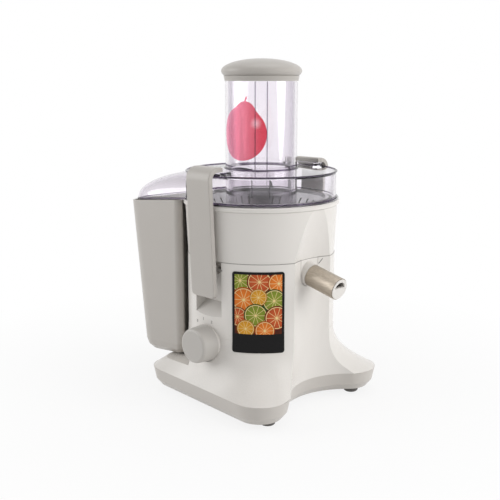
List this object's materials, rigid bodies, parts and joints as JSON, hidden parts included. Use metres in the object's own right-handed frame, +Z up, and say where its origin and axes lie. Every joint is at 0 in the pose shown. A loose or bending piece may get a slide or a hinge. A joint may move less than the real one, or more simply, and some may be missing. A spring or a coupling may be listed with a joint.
{
  "type": "centrifugal juicer",
  "caption": "Upright centrifugal juicer: flared motor base, bowl with turning juice spout, clear lid with wide feed tube and pusher, latching arms, and a side pulp container.",
  "frame": {"origin": "on the floor, under the middle of the machine's box", "axes": "+Z up, +X towards the juice spout, -Y the front with the speed knob"},
  "size_m": [0.2822, 0.214, 0.3845],
  "materials": {
    "rubber": "matte rubber",
    "skirt_grey": "satin moulded plastic",
    "white": "warm white moulded plastic, soft gloss",
    "clear": "clear moulded plastic with a faint violet tint",
    "warm_grey": "satin warm grey plastic",
    "knob_grey": "satin light grey plastic",
    "steel": "brushed stainless steel",
    "dark": "dark moulded plastic",
    "lamination": "stacked electrical steel",
    "copper": "varnished copper",
    "aluminium": "cast aluminium",
    "carbon": "pressed carbon"
  },
  "bodies": {
    "base": {"rubber_feet": "rubber", "base_tray": "skirt_grey", "base_screws": "steel", "cord_grommet": "rubber", "power_housing": "white", "bowl": "white", "lid": "clear", "front_arm_pin": "steel", "rear_arm_pin": "steel", "speed_switch": "dark", "interlock_switch": "dark", "stator_core": "lamination", "field_coils": "copper", "upper_bracket": "aluminium", "lower_bracket": "aluminium", "upper_bearing": "steel", "lower_bearing": "steel", "mount_dampers": "rubber", "stator_bolts": "steel", "brush_holders": "dark", "carbon_brushes": "carbon"},
    "rotor": {"motor_shaft": "steel", "armature_core": "lamination", "armature_windings": "copper", "commutator": "copper", "cooling_fan": "dark", "drive_coupling": "dark", "drum_hub": "dark", "grater_disc": "steel", "mesh_cone": "steel", "drum_rim": "steel"},
    "pusher": {"pusher_body": "clear", "pusher_cap": "warm_grey"},
    "front_latch": {"front_arm": "warm_grey"},
    "rear_latch": {"rear_arm": "warm_grey"},
    "knob": {"speed_knob": "knob_grey", "knob_spindle": "steel"},
    "spout": {"spout_insert": "white", "spout_sleeve": "steel", "spout_seal": "rubber"},
    "bin": {"pulp_container": "warm_grey"}
  },
  "joints": [
    {"name": "drum_spin", "type": "hinge", "parent": "base", "child": "rotor", "pos_m": [0.0211, 0, 0.15], "axis": [0, 0, 1], "continuous": true},
    {"name": "pusher_slide", "type": "slide", "parent": "base", "child": "pusher", "axis": [0, 0, 1], "range_m": [0, 0.16]},
    {"name": "front_arm_swing", "type": "hinge", "parent": "base", "child": "front_latch", "pos_m": [0.0211, -0.08, 0.16], "axis": [1, 0, 0], "range_deg": [0, 30]},
    {"name": "rear_arm_swing", "type": "hinge", "parent": "base", "child": "rear_latch", "pos_m": [0.0211, 0.08, 0.16], "axis": [-1, 0, 0], "range_deg": [0, 30]},
    {"name": "knob_turn", "type": "hinge", "parent": "base", "child": "knob", "pos_m": [0.0211, -0.09, 0.076], "axis": [0, 1, 0], "range_deg": [0, 60]},
    {"name": "spout_turn", "type": "hinge", "parent": "base", "child": "spout", "pos_m": [0.09041, 0, 0.15353], "axis": [0.9728, 0, -0.2317], "range_deg": [0, 180]},
    {"name": "bin_slide", "type": "slide", "parent": "base", "child": "bin", "axis": [-0.9954, 0, -0.0958], "range_m": [0, 0.13]}
  ]
}
